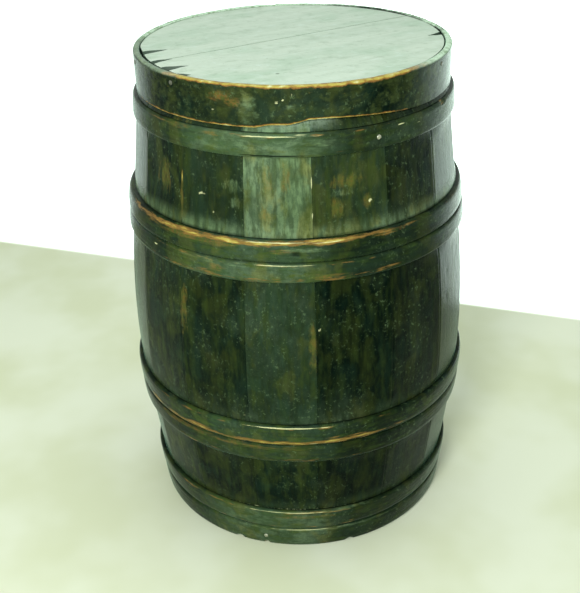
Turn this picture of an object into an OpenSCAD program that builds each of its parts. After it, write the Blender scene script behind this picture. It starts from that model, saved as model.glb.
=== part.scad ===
// Oak cask with a lift-off lid, bent-wood hoops and a bung.
// Origin: centre of the foot, on the surface that the cask stands on. +Z up, front towards -Y.

/* [Body] */
// Height over the lid
cask_h = 620; // [560:5:680]
// Radius of the staves at the bulge
bulge_r = 218.3; // [205:0.1:230]
// How much narrower the top is than the bulge
bow = 31; // [24:0.5:36]
// Height of the bulge as a share of the cask's height
bulge_share = 0.42; // [0.40:0.01:0.50]
// Thickness of a stave
stave_t = 18; // [14:0.5:22]

/* [Hoops] */
// Thickness of the paired hoops
hoop_t = 6.3; // [4:0.1:8]
// Thickness of the single hoop under the lid
head_hoop_t = 5; // [3:0.1:8]
// Rounding of a hoop's outer edges
hoop_edge = 2; // [1:0.1:2.4]

/* [Lid] */
// Outer radius of the lid's band
lid_r = 190; // [187:0.1:191]
// Thickness of the lid's band
lid_band_t = 8; // [7:0.1:9]
// Height of the lid's band
lid_band_h = 46; // [40:1:48]
// Thickness of the lid's boards
lid_board_t = 15; // [12:0.5:18]
// Depth of the finger notch worn in the band's lower edge
notch_depth = 9; // [5:0.5:12]

/* [Bottom] */
// Thickness of the bottom boards
bottom_t = 16; // [12:0.5:20]
// Height of the croze groove above the foot
croze_z = 34; // [30:1:45]

/* [Bung] */
// Radius of the bung at its outer end
bung_r = 23; // [18:0.5:26]

/* [Hidden] */
$fn = 180;

// Staves: the joints' bearings in degrees from the front, towards +X.
JOINTS = [4.5, 30, 52.5, 74, 97, 119, 143, 168, 192, 213, 234.5, 257, 278, 298, 319, 342.5, 364.5];
STAVES = len(JOINTS) - 1;
BUNG_STAVE = 7;

// Heights where the staves' outline has a point. Every hoop edge is one of them.
STATIONS = [0, 32, 64, 92, 122, 152, 180, 210, 235, 260, 285, 315, 345, 373, 401, 425, 452, 482, 512, 543, 570];

// Hoops: name, lower edge, upper edge, bearing of the lapped ends, bearings of nails away from the lap.
HOOPS = [
    ["head_hoop", 543, 570, 152, [27, 270]],
    ["upper_hoop_a", 425, 452, 205, [100]],
    ["upper_hoop_b", 401, 425, 138, [250]],
    ["lower_hoop_a", 180, 210, 222, [95]],
    ["lower_hoop_b", 152, 180, 160, [262]],
    ["foot_hoop_a", 32, 64, 200, [90]],
    ["foot_hoop_b", 0, 32, 145, [-15, 256]],
];
lap_angle = 18;
lap_gap = 0.4;

// Lid
lid_gap = 0.3;
lid_recess = 2;
lid_low = cask_h - lid_band_h;
board_top = cask_h - lid_recess;
board_low = board_top - lid_board_t;
rim_top = board_low - lid_gap;
band_in = lid_r - lid_band_t;
rebate_r = band_in - 0.8;
rim_round = 1.5;
// The lid's band sits over a shoulder that loses this much radius per mm of height.
bevel = 0.85;
bevel_play = 0.5;
seam_angle = 30.3;
seam_shift = 14;
seam_gap = 0.2;
notch_bearing = 18;
notch_r = 520;
batten_w = 26;
batten_t = 14;
batten_x = 85;
batten_half = 132;
lid_lap_bearing = 178;

// Bottom
croze_h = 8;
croze_depth = 5;
chime_bevel = 6;
chime_bevel_h = 20;
bottom_seam = 62;
board_play = 0.4;

// Bung
bung_slope = 0.12;
bung_play = 0.05;
bung_in = 6;
bung_out = 0.4;

// Nails and dowels
nail_r = 1.3;
nail_head_r = 2.6;
nail_head_h = 1.1;
hoop_nail_len = 14;
batten_nail_len = 24;
band_nail_len = 20;
BAND_NAILS = [61, 100, 140, 182, 240, 285, 315];
dowel_r = 4;
dowel_len = 50;

function stave_name(i) = str("stave_", i < 9 ? "0" : "", i + 1);

// Outer radius of the staves at height z: a smooth bulge, tighter above than below.
bulge_z = bulge_share * cask_h;
function bulge_turn(z) = z > bulge_z
    ? 0.93 * (z - bulge_z) / (cask_h - bulge_z)
    : 0.69 * (bulge_z - z) / bulge_z;
function stave_r(z) = bulge_r - bow * (1 - cos(180 * bulge_turn(z))) / 2;
function inner_r(z) = stave_r(z) - stave_t;
croze_r = inner_r(croze_z) + croze_depth;

// The shoulder starts at the staves' last station.
shoulder_z = STATIONS[len(STATIONS) - 1];
function shoulder_height(r) = shoulder_z + (stave_r(shoulder_z) - r) / bevel;
function shoulder_r(z) = stave_r(shoulder_z) - bevel * (z - shoulder_z);

// Bearing b turned into the angle about +Z from +X.
function turn(b) = b - 90;

module at_bearing(b) rotate([0, 0, turn(b)]) children();

function reversed(v) = [for (i = [len(v) - 1:-1:0]) v[i]];

// ---- Staves ----

module stave_section() {
    outer = [for (z = STATIONS) [stave_r(z), z]];
    shoulder = [
        [rebate_r, shoulder_height(rebate_r)],
        [rebate_r, rim_top - rim_round],
        [rebate_r - rim_round, rim_top],
        [inner_r(rim_top) + rim_round, rim_top],
        [inner_r(rim_top), rim_top - rim_round],
    ];
    inner = reversed([for (z = STATIONS) if (z > croze_z + croze_h) [inner_r(z), z]]);
    croze = [
        [inner_r(croze_z + croze_h), croze_z + croze_h],
        [croze_r, croze_z + croze_h],
        [croze_r, croze_z],
        [inner_r(croze_z), croze_z],
        [inner_r(chime_bevel_h), chime_bevel_h],
        [inner_r(0) + chime_bevel, 0],
    ];
    polygon(concat(outer, shoulder, inner, croze));
}

// The bung's cone, which widens outwards, between two distances from the cask's axis.
function bung_radius(y) = bung_r - bung_slope * (bulge_r - y);

module bung_cone(low, high, play) {
    translate([0, 0, bulge_z])
        rotate([-90, 0, 0])
            translate([0, 0, low])
                cylinder(h = high - low, r1 = bung_radius(low) + play, r2 = bung_radius(high) + play);
}

module stave(i) {
    wide = JOINTS[i + 1] - JOINTS[i];
    color(i % 2 == 0 ? [0.16, 0.14, 0.08] : [0.20, 0.18, 0.10])
        difference() {
            at_bearing(JOINTS[i]) rotate_extrude(angle = wide) stave_section();
            if (i == BUNG_STAVE) bung_cone(bulge_r - 2 * stave_t, bulge_r + stave_t, bung_play);
        }
}

// ---- Hoops ----

function hoop_thick(h) = h[0] == "head_hoop" ? head_hoop_t : hoop_t;

module hoop(h) {
    low = h[1];
    high = h[2];
    t = hoop_thick(h);
    side = [for (z = STATIONS) if (z >= low && z <= high) [stave_r(z), z]];
    edge = [
        [stave_r(high) + t - hoop_edge, high],
        [stave_r(high) + t, high - hoop_edge],
        [stave_r(low) + t, low + hoop_edge],
        [stave_r(low) + t - hoop_edge, low],
    ];
    color([0.24, 0.20, 0.10])
        difference() {
            rotate_extrude() polygon(concat(side, edge));
            at_bearing(h[3])
                translate([stave_r((low + high) / 2) + t / 2, 0, (low + high) / 2])
                    rotate([0, 0, 90 - lap_angle])
                        cube([60, lap_gap, high - low + 2], center = true);
        }
}

// A nail along -X with the underside of its round head at x = 0.
module nail(length) {
    rotate([0, -90, 0])
        cylinder(h = length, r = nail_r, $fn = 24);
    rotate([0, 90, 0])
        cylinder(h = nail_head_h, r1 = nail_head_r, r2 = nail_head_r * 0.6, $fn = 24);
}

// Nail bearings on a hoop: two beside the lapped ends, and the others.
function nail_bearings(h) = concat([h[3] - 4, h[3] + 4], h[4]);

module hoop_nails() {
    color([0.35, 0.33, 0.30])
        for (h = HOOPS, b = nail_bearings(h)) {
            z = (h[1] + h[2]) / 2;
            face_r = (stave_r(h[1]) + stave_r(h[2])) / 2 + hoop_thick(h);
            at_bearing(b) translate([face_r, 0, z]) nail(hoop_nail_len);
        }
}

// ---- Lid ----

module lid_band() {
    color([0.20, 0.17, 0.09])
        difference() {
            rotate_extrude()
                polygon([
                    [band_in, shoulder_height(band_in - bevel_play)],
                    [shoulder_r(lid_low) + bevel_play, lid_low],
                    [lid_r - 0.5, lid_low],
                    [lid_r, lid_low + 1],
                    [lid_r, cask_h - hoop_edge],
                    [lid_r - hoop_edge, cask_h],
                    [band_in + 1, cask_h],
                    [band_in, cask_h - 1],
                ]);
            at_bearing(notch_bearing)
                translate([0, 0, lid_low + notch_depth - notch_r])
                    rotate([0, 90, 0]) cylinder(h = lid_r + 10, r = notch_r, $fn = 360);
            at_bearing(lid_lap_bearing)
                translate([lid_r - lid_band_t / 2, 0, lid_low + lid_band_h / 2])
                    rotate([0, 0, 90 - lap_angle])
                        cube([60, lap_gap, lid_band_h + 2], center = true);
        }
}

// The lid's own directions: X along the board joint, Y across it.
module along_boards() rotate([0, 0, seam_angle]) children();

module lid_disc() translate([0, 0, board_low]) cylinder(h = lid_board_t, r = band_in);

module lid_dowel_set() {
    for (x = [-110, 0, 110])
        translate([x, seam_shift, board_low + lid_board_t / 2])
            rotate([90, 0, 0]) cylinder(h = dowel_len, r = dowel_r, center = true, $fn = 32);
}

module lid_dowels() color([0.70, 0.62, 0.45]) along_boards() lid_dowel_set();

module lid_board(side) {
    reach = 2 * lid_r;
    color([0.66, 0.68, 0.58])
        along_boards()
            difference() {
                intersection() {
                    lid_disc();
                    translate([-reach / 2, seam_shift + (side > 0 ? seam_gap / 2 : -reach - seam_gap / 2), 0])
                        cube([reach, reach, cask_h]);
                }
                lid_dowel_set();
            }
}

module lid_board_front() lid_board(-1);
module lid_board_rear() lid_board(1);

module lid_batten(side) {
    color([0.50, 0.42, 0.28])
        along_boards()
            translate([side * batten_x, 0, board_low - batten_t / 2])
                cube([batten_w, 2 * batten_half, batten_t], center = true);
}

module lid_batten_left() lid_batten(-1);
module lid_batten_right() lid_batten(1);

module batten_nails() {
    color([0.35, 0.33, 0.30])
        along_boards()
            for (x = [-batten_x, batten_x], y = [-108, -45, 60, 115])
                translate([x, y, board_low - batten_t]) rotate([0, 90, 0]) nail(batten_nail_len);
}

module lid_band_nails() {
    color([0.35, 0.33, 0.30])
        for (b = BAND_NAILS)
            at_bearing(b) translate([lid_r, 0, board_low + lid_board_t / 2]) nail(band_nail_len);
}

// ---- Bottom ----

function bottom_height() = croze_z + bottom_t / 2;

module bottom_disc() {
    main_r = inner_r(croze_z + croze_h) - board_play;
    rotate_extrude()
        polygon([
            [0, croze_z],
            [croze_r, croze_z],
            [croze_r, croze_z + croze_h],
            [main_r, croze_z + croze_h],
            [main_r, croze_z + bottom_t],
            [0, croze_z + bottom_t],
        ]);
}

module bottom_dowel_set() {
    for (x = [-bottom_seam, bottom_seam], y = [-90, 90])
        translate([x, y, bottom_height()])
            rotate([0, 90, 0]) cylinder(h = dowel_len, r = dowel_r, center = true, $fn = 32);
}

module bottom_dowels() color([0.70, 0.62, 0.45]) bottom_dowel_set();

module bottom_board(low, high) {
    color([0.45, 0.36, 0.22])
        difference() {
            intersection() {
                bottom_disc();
                translate([low, -bulge_r, 0]) cube([high - low, 2 * bulge_r, cask_h]);
            }
            bottom_dowel_set();
        }
}

module bottom_board_left() bottom_board(-bulge_r, -bottom_seam);
module bottom_board_middle() bottom_board(-bottom_seam, bottom_seam);
module bottom_board_right() bottom_board(bottom_seam, bulge_r);

// ---- Bung ----

module bung() {
    color([0.55, 0.42, 0.25])
        bung_cone(bulge_r - stave_t - bung_in, bulge_r - bung_out, 0);
}

for (i = [0:STAVES - 1])
    stave(i);
for (h = HOOPS)
    hoop(h);
hoop_nails();
lid_band();
lid_board_front();
lid_board_rear();
lid_batten_left();
lid_batten_right();
lid_dowels();
batten_nails();
lid_band_nails();
bottom_board_left();
bottom_board_middle();
bottom_board_right();
bottom_dowels();
bung();
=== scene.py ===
"""Looks of the oak cask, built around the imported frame. Metres, +Z up, the front faces -Y.

Bearings are degrees from the front, towards +X. Every turned piece is a section swept round the axis.
"""
import math
import random

import bmesh
import bpy
import numpy as np
from mathutils import Matrix, Vector, noise


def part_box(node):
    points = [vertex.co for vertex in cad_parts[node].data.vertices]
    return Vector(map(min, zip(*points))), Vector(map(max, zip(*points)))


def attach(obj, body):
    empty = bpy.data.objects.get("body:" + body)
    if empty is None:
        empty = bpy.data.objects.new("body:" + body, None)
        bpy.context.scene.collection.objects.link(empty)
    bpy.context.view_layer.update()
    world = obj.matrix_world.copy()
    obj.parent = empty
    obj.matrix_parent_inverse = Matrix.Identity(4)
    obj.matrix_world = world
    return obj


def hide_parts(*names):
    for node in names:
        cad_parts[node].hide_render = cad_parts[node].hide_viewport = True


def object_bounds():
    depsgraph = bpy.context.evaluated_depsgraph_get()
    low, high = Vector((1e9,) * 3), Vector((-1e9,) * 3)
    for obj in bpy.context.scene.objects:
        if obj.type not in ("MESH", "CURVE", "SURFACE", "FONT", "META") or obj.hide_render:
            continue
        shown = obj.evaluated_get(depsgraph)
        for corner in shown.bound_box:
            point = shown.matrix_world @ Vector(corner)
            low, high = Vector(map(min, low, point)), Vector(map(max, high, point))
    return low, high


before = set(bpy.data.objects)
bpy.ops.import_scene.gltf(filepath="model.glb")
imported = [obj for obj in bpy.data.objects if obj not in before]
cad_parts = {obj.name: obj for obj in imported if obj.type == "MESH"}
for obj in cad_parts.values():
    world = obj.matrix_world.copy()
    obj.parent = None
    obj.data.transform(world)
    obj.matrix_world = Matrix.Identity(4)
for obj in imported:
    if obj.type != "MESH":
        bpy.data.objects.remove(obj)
cad_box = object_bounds()

MM = 0.001

# ---- sizes, as the CAD part states them

CASK_H = cad_box[1].z
BULGE_R = 218.3 * MM
BOW = 31 * MM
BULGE_Z = 0.42 * CASK_H
# The drum of one radius that noise is laid out on.
DRUM_R = 0.2
STAVE_T = 18 * MM
# Bearings of the joints between the staves.
JOINTS = [4.5, 30, 52.5, 74, 97, 119, 143, 168, 192, 213, 234.5, 257, 278, 298, 319, 342.5, 364.5]
BUNG_STAVE = 7  # counted from 0
SHOULDER_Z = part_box("head_hoop")[1].z
BEVEL = 0.85
BEVEL_PLAY = 0.5 * MM
CROZE_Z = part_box("bottom_board_middle")[0].z
CROZE_H = 8 * MM
CROZE_DEPTH = 5 * MM

LID_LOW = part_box("lid_band")[0].z
LID_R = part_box("lid_band")[1].x
LID_BAND_T = 8 * MM
BAND_IN = LID_R - LID_BAND_T
REBATE_R = BAND_IN - 0.8 * MM
RIM_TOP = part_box("stave_01")[1].z
BOARD_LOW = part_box("lid_board_front")[0].z
BOARD_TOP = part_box("lid_board_front")[1].z
# The joint between the lid's boards: its angle to the X axis, and how far it lies off the middle.
SEAM_ANGLE = 30.3
SEAM_SHIFT = 14 * MM
# A small dark spot painted on the front board.
DARK_SPOT_AT = (-0.018, -0.138, BOARD_TOP)
# How far the lid band's lower edge is cut away in front.
NOTCH_DEPTH = 9 * MM
BATTEN_X = 85 * MM
BATTEN_W = 26 * MM
BATTEN_L = 264 * MM

# Hoops: node, bearing of the lapped ends, bearings of nails away from the lap.
HOOPS = [
    ("head_hoop", 152, [27, 270]),
    ("upper_hoop_a", 205, [100]),
    ("upper_hoop_b", 138, [250]),
    ("lower_hoop_a", 222, [95]),
    ("lower_hoop_b", 160, [262]),
    ("foot_hoop_a", 200, [90]),
    ("foot_hoop_b", 145, [-15, 256]),
]
HOOP_T = {"head_hoop": 5 * MM}
PAIR_HOOP_T = 6.3 * MM
# How far a hoop's or band's end runs on over its start, in degrees.
LAP = 8
BAND_LAP_AT = 178
BAND_NAILS = [61, 100, 140, 182, 240, 285, 315]


def stave_r(z):
    """Outer radius of the staves: a smooth bulge, tighter above than below."""
    z = np.asarray(z, float)
    above = 0.93 * (z - BULGE_Z) / (CASK_H - BULGE_Z)
    below = 0.69 * (BULGE_Z - z) / BULGE_Z
    turn = np.where(z > BULGE_Z, above, below)
    return BULGE_R - BOW * (1 - np.cos(math.pi * turn)) / 2


SHOULDER_R = float(stave_r(SHOULDER_Z))


def smooth(low, high, v):
    """0 below low, 1 above high, and a smooth step between them."""
    t = np.clip((np.asarray(v, float) - low) / (high - low), 0, 1)
    return t * t * (3 - 2 * t)


def near(v, centre, half):
    """1 at the centre, falling smoothly to 0 at half away from it."""
    return 1 - smooth(0, half, np.abs(np.asarray(v, float) - centre))


def bell(v, width):
    """1 at 0, and falling off on both sides as a bell curve of this width."""
    return np.exp(-(v / width) ** 2)


def turned(bearing, other):
    """Smallest signed angle from other to bearing, in degrees."""
    return (np.asarray(bearing, float) - other + 180) % 360 - 180


def value_noise(p, size, seed):
    """Smooth noise from -1 to 1 at each point of p. size is that of its features: one number or three."""
    shift = Vector((seed * 13.7, seed * 7.1, seed * 3.3))
    flat = (p / np.array(size)).reshape(-1, 3)
    return np.array([noise.noise(Vector(q) + shift) for q in flat]).reshape(p.shape[:-1])


# ---- meshes

def linked(name, data):
    obj = bpy.data.objects.new(name, data)
    bpy.context.scene.collection.objects.link(obj)
    return obj


def new_object(name, mesh, material):
    mesh.materials.append(material)
    return linked(name, mesh)


def shade(mesh, sharp_angle=38):
    """Smooth faces, with sharp edges only where the surface really turns."""
    mesh.shade_smooth()
    mesh.set_sharp_from_angle(angle=math.radians(sharp_angle))


def finish_mesh(mesh, sharp_angle=38):
    """Outward normals and smooth faces."""
    bm = bmesh.new()
    bm.from_mesh(mesh)
    bmesh.ops.recalc_face_normals(bm, faces=bm.faces)
    bm.to_mesh(mesh)
    bm.free()
    shade(mesh, sharp_angle)


def mesh_of(bm, name):
    """The finished bmesh as a mesh of this name."""
    mesh = bpy.data.meshes.new(name)
    bm.to_mesh(mesh)
    bm.free()
    return mesh


def close_rows(bm, rows):
    """Walls between rows of points, a face over the first row and the last, and outward normals."""
    for a, b in zip(rows, rows[1:]):
        for k in range(len(a)):
            n = (k + 1) % len(a)
            bm.faces.new([a[k], a[n], b[n], b[k]])
    bm.faces.new(rows[0])
    bm.faces.new(rows[-1][::-1])
    bmesh.ops.recalc_face_normals(bm, faces=bm.faces)


def set_attribute(mesh, key, values, domain="POINT"):
    layer = mesh.attributes.new(key, "FLOAT", domain)
    layer.data.foreach_set("value", np.asarray(values, np.float32).ravel())


def swept_mesh(name, columns, attributes):
    """A mesh from columns x loop x 3 points: walls between the columns, and flat ends."""
    n, m = columns.shape[:2]
    faces = []
    for j in range(n - 1):
        a, b = j * m, (j + 1) * m
        for i in range(m):
            k = (i + 1) % m
            faces.append((a + i, a + k, b + k, b + i))
    faces.append(tuple(range(m)))
    faces.append(tuple((n - 1) * m + i for i in range(m - 1, -1, -1)))
    mesh = bpy.data.meshes.new(name)
    mesh.from_pydata(columns.reshape(-1, 3).tolist(), [], faces)
    for key, values in attributes.items():
        set_attribute(mesh, key, values)
    finish_mesh(mesh)
    return mesh


def on_axis(bearings, radius, height):
    """Points at bearings (degrees) x loop radii and heights."""
    b = np.radians(np.asarray(bearings, float))
    return np.stack([np.sin(b) * radius, -np.cos(b) * radius, height * np.ones_like(b)], -1)


def rounded(corners, steps=5):
    """A closed outline from (r, z, rounding) corners."""
    out = []
    pts = [np.array(c[:2]) for c in corners]
    for i, (p, c) in enumerate(zip(pts, corners)):
        before, after = pts[i - 1], pts[(i + 1) % len(pts)]
        if c[2] <= 0:
            out.append(p)
            continue
        a = p + (before - p) * min(0.5, c[2] / np.linalg.norm(before - p))
        b = p + (after - p) * min(0.5, c[2] / np.linalg.norm(after - p))
        for t in np.linspace(0, 1, steps):
            out.append((1 - t) ** 2 * a + 2 * t * (1 - t) * p + t * t * b)
    return np.array(out)


def finer(loop, step):
    """The closed outline with no side longer than step."""
    out = []
    for p, q in zip(loop, np.roll(loop, -1, axis=0)):
        parts = max(1, math.ceil(np.linalg.norm(q - p) / step))
        for t in range(parts):
            out.append(p + (q - p) * t / parts)
    return np.array(out)


# ---- materials

class Material:
    """A node material with one Principled shader, and short calls for the nodes that feed it."""

    def __init__(self, name, **settings):
        self.made = bpy.data.materials.new(name)
        self.made.use_nodes = True
        self.tree = self.made.node_tree
        self.shader = self.tree.nodes["Principled BSDF"]
        for socket, value in settings.items():
            self.shader.inputs[socket.replace("_", " ")].default_value = value

    def node(self, kind, **inputs):
        n = self.tree.nodes.new("ShaderNode" + kind)
        for key, value in inputs.items():
            self.feed(n.inputs[key.replace("_", " ")], value)
        return n

    def feed(self, socket, value):
        if isinstance(value, bpy.types.NodeSocket):
            self.tree.links.new(value, socket)
        else:
            socket.default_value = value

    def math(self, operation, a, b=0.0, clamp=False):
        n = self.node("Math")
        n.operation = operation
        n.use_clamp = clamp
        self.feed(n.inputs[0], a)
        self.feed(n.inputs[1], b)
        return n.outputs[0]

    def times(self, a, b):
        return self.math("MULTIPLY", a, b)

    def vector(self, operation, a, b=None, scale=None, output="Vector"):
        n = self.node("VectorMath")
        n.operation = operation
        self.feed(n.inputs[0], a)
        if b is not None:
            self.feed(n.inputs[1], b)
        if scale is not None:
            self.feed(n.inputs[3], scale)
        return n.outputs[output]

    def attribute(self, name):
        n = self.node("Attribute")
        n.attribute_name = name
        return n.outputs["Fac"]

    def place(self):
        """Object coordinates, which are the frame's own, in metres."""
        return self.node("TexCoord").outputs["Object"]

    def drum_place(self):
        """Coordinates on a drum of one radius, so that grain lines follow the staves' taper."""
        flat = self.vector("MULTIPLY", self.place(), (1, 1, 0))
        spun = self.vector("SCALE", self.vector("NORMALIZE", flat), scale=DRUM_R)
        high = self.vector("MULTIPLY", self.place(), (0, 0, 1))
        return self.vector("ADD", spun, high)

    def noise(self, place, size, detail=3, rough=0.55, twist=0.0):
        """Noise whose features measure about size, in metres: (x, y, z), or (flat, z) for x and y alike."""
        scaled = self.vector("DIVIDE", place, (size[0], size[0], size[1]) if len(size) == 2 else size)
        n = self.node("TexNoise", Vector=scaled, Scale=1, Detail=detail, Roughness=rough, Distortion=twist)
        return n.outputs["Fac"]

    def step(self, value, low, high):
        """0 below low and 1 above high."""
        n = self.node("MapRange", Value=value, From_Min=low, From_Max=high)
        n.interpolation_type = "SMOOTHSTEP"
        return n.outputs["Result"]

    def span(self, value, low, high):
        """A value from 0 to 1 turned into one from low to high."""
        return self.node("MapRange", Value=value, To_Min=low, To_Max=high).outputs["Result"]

    def mix(self, share, a, b, blend="MIX"):
        n = self.node("Mix")
        n.data_type = "RGBA"
        n.blend_type = blend
        self.feed(n.inputs["Factor"], share)
        self.feed(n.inputs[6], a)
        self.feed(n.inputs[7], b)
        return n.outputs[2]

    def tint(self, share, amount, colour, new):
        """The colour, with this amount of a new one where share is 1."""
        return self.mix(self.times(share, amount), colour, new)

    def bump(self, height, distance, normal=None):
        n = self.node("Bump", Distance=distance, Strength=1, Height=height)
        if normal is not None:
            self.feed(n.inputs["Normal"], normal)
        return n.outputs["Normal"]

    def surface(self, colour=None, roughness=None, normal=None, metallic=None):
        sockets = {"Base Color": colour, "Roughness": roughness, "Normal": normal, "Metallic": metallic}
        for key, value in sockets.items():
            if value is not None:
                self.feed(self.shader.inputs[key], value)
        return self.made


def rgb(r, g, b):
    """A colour as seen, in 0 to 255, as the linear value that a shader takes."""
    def linear(v):
        v /= 255
        return v / 12.92 if v <= 0.04045 else ((v + 0.055) / 1.055) ** 2.4

    return (linear(r), linear(g), linear(b), 1)


DARK = rgb(7, 23, 16)
BLACK = rgb(4, 11, 7)
BROWN = rgb(86, 94, 40)
MIST_AND_HIGHLIGHT = rgb(100, 124, 86)
HAZE_AND_HIGHLIGHT = rgb(102, 124, 92)
GOLD = rgb(168, 154, 72)
CREAM = rgb(206, 210, 158)
PALE = rgb(176, 200, 176)
WARM = rgb(74, 86, 32)
COOL = rgb(34, 60, 46)
WARM_MIST_AND_HIGHLIGHT = rgb(122, 120, 60)
WINE = rgb(60, 34, 30)


def torn_marks(m, ragged):
    """A call for a mark's level with torn edges, and how much of the mark shows."""
    def torn(key, low, high, raggedness):
        here = m.attribute(key)
        edge = m.times(m.times(ragged, raggedness), m.step(here, 0.0, 0.25))
        level = m.math("ADD", here, edge)
        return level, m.step(level, low, high)

    return torn


def varnished(name, place_of, grains, patch, rust, crowding=0.65):
    """Old dark varnish on wood, worn where the mesh's attributes say, with painted highlight and painted
    shade where they ask for them.

    grains are noise sizes on the axes that place_of uses: streaks, pores, blotches, dashes and torn edges.
    patch colours the blotches and rust the deep wear. A higher crowding leaves fewer light flecks.
    """
    streak, fine, blotch, dash, tear = grains
    m = Material(name, IOR=1.16, Specular_Tint=(0.22, 0.50, 0.36, 1), Sheen_Weight=0.22,
                 Sheen_Roughness=0.2, Sheen_Tint=(0.34, 0.85, 0.58, 1))
    place = place_of(m)
    spread = m.noise(m.place(), (0.06, 0.07), 3, 0.6)
    patches = m.noise(place, blotch, 4, 0.62, 0.15)
    stains = m.noise(m.vector("ADD", place, (3.1, 1.7, 5.3)), blotch, 3, 0.6, 0.1)
    blots = m.noise(m.place(), (0.0065, 0.0075), 5, 0.75)
    grain = m.noise(place, streak, 5, 0.65)
    pores = m.noise(place, fine, 3, 0.6)
    tears = m.noise(place, tear, 4, 0.65)
    ragged = m.math("SUBTRACT", m.math("ADD", tears, m.times(grain, 0.6)), 0.8)
    torn = torn_marks(m, m.times(ragged, 2.0))

    # The varnish itself: dark, with lighter blotches, warm and cool drifts of hue, and each piece's own tone,
    # which also carries painted light: the hoops are lighter in front, where the flash falls.
    hue = m.noise(place, (0.026, 0.045), 3, 0.55, 0.3)
    warm = m.step(hue, 0.50, 0.64)
    cool = m.step(hue, 0.49, 0.36)
    colour = m.tint(m.step(patches, 0.40, 0.76), 0.84, DARK, patch)
    colour = m.tint(warm, 0.26, colour, WARM)
    colour = m.tint(cool, 0.28, colour, COOL)
    colour = m.tint(m.step(grain, 0.45, 0.65), 0.45, colour, BLACK)
    shade_of_piece = m.span(m.attribute("tone_and_lighting"), 0.15, 1.65)
    grey = m.node("CombineColor", Red=shade_of_piece, Green=shade_of_piece, Blue=shade_of_piece)
    colour = m.mix(1.0, colour, grey.outputs[0], "MULTIPLY")

    # A pale film on it, thinner where the blotches are. Much of it is painted highlight: the flash's sheen on
    # the front of the staves, hoops and band, and on the staves' shoulders.
    film_and_highlight = m.times(m.step(spread, 0.50, 0.70), 0.10)
    film_and_highlight = m.math("ADD", film_and_highlight, m.attribute("haze_and_highlight"), clamp=True)
    film_and_highlight = m.math("MAXIMUM", film_and_highlight, m.times(torn("mist_and_highlight", 0.05, 1.30, 1.3)[1], 0.75))
    film_and_highlight = m.times(film_and_highlight, m.span(m.step(patches, 0.62, 0.40), 0.35, 1.0))
    film_and_highlight = m.times(film_and_highlight, m.span(m.step(blots, 0.60, 0.44), 0.74, 1.0))
    misty_and_highlight = m.mix(m.step(spread, 0.40, 0.60), MIST_AND_HIGHLIGHT, HAZE_AND_HIGHLIGHT)
    colour = m.mix(film_and_highlight, colour, m.tint(warm, 0.45, misty_and_highlight, WARM_MIST_AND_HIGHLIGHT))

    # Brown stains, rubbed edges that go from rust to gold and cream, and chips. The cream on the most rubbed
    # edges is a painted highlight.
    stained = m.times(m.step(stains, 0.50, 0.68), m.span(m.step(blots, 0.40, 0.60), 0.45, 0.85))
    stained = m.times(stained, m.span(m.attribute("tone_and_lighting"), 0.2, 1.2))
    colour = m.mix(stained, colour, m.mix(film_and_highlight, patch, BROWN))
    burnt = torn("spot", 0.10, 1.30, 1.4)[1]
    colour = m.tint(burnt, 0.52, colour, m.mix(m.step(blots, 0.40, 0.60), rust, BROWN))
    level, rubbed = torn("wear_and_glint", 0.20, 0.65, 1.0)
    worn = m.mix(m.step(level, 0.65, 1.05), rust, GOLD)
    worn = m.mix(m.step(level, 1.05, 1.45), worn, CREAM)
    colour = m.tint(rubbed, 0.9, colour, worn)
    # Pale flecks and scratches, and painted glints along the hoops' top edges; then bleached wood, and a
    # painted highlight on the staves' shoulders.
    colour = m.tint(torn("pale", 0.35, 0.85, 0.7)[1], 0.8, colour, CREAM)
    colour = m.mix(m.attribute("bleach_and_highlight"), colour, m.mix(m.step(blots, 0.45, 0.70), PALE, MIST_AND_HIGHLIGHT))
    specks = m.step(m.noise(m.place(), (0.0045, 0.005), 4, 0.75), 0.55, 0.72)
    colour = m.tint(m.times(specks, m.step(spread, 0.35, 0.60)), 0.42, colour, MIST_AND_HIGHLIGHT)

    # Bare wood inside, light flecks and dashes in crowds, and dirt together with painted shade.
    raw = m.mix(m.step(grain, 0.35, 0.65), rgb(128, 96, 60), rgb(86, 60, 36))
    raw = m.tint(m.step(stains, 0.45, 0.70), 0.5, raw, WINE)
    colour = m.mix(m.attribute("raw"), colour, raw)
    dots = m.step(m.noise(m.place(), (0.0022, 0.0027), 2, 0.5), 0.75, 0.80)
    crowd = m.step(m.noise(m.place(), (0.025, 0.02), 3, 0.6), crowding, crowding + 0.17)
    lines = m.step(m.noise(m.place(), dash, 2, 0.5), 0.70, 0.76)
    light = m.times(m.math("MAXIMUM", dots, lines), crowd)
    colour = m.tint(light, 0.25, colour, GOLD)
    colour = m.mix(torn("dirt_and_shade", 0.05, 0.95, 0.5)[1], colour, BLACK)

    rough = m.math("ADD", m.times(blots, 0.6), m.times(grain, 0.4))
    rough = m.span(rough, 0.08, 0.38)
    rough = m.math("ADD", rough, m.times(rubbed, 0.12), clamp=True)
    rough = m.math("ADD", rough, m.times(m.attribute("bleach_and_highlight"), 0.45), clamp=True)
    normal = m.bump(grain, 0.25 * MM)
    normal = m.bump(pores, 0.08 * MM, normal)
    normal = m.bump(blots, 0.30 * MM, normal)
    return m.surface(colour, rough, normal)


def stave_oak():
    grains = ((0.006, 0.05), (0.001, 0.02), (0.0095, 0.042), (0.009, 0.0012), (0.004, 0.012))
    return varnished("stave_oak", Material.drum_place, grains, rgb(44, 58, 25), rgb(106, 92, 40), 0.73)


def hoop_wood():
    grains = ((0.06, 0.0035), (0.02, 0.0008), (0.024, 0.009), (0.014, 0.0009), (0.018, 0.0028))
    return varnished("hoop_wood", Material.place, grains, rgb(50, 68, 28), rgb(118, 92, 46))


def lid_band_wood():
    grains = ((0.020, 0.006), (0.012, 0.0012), (0.012, 0.010), (0.006, 0.0011), (0.012, 0.006))
    return varnished("lid_band_wood", Material.place, grains, rgb(60, 72, 38), rgb(130, 94, 46), 0.44)


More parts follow.
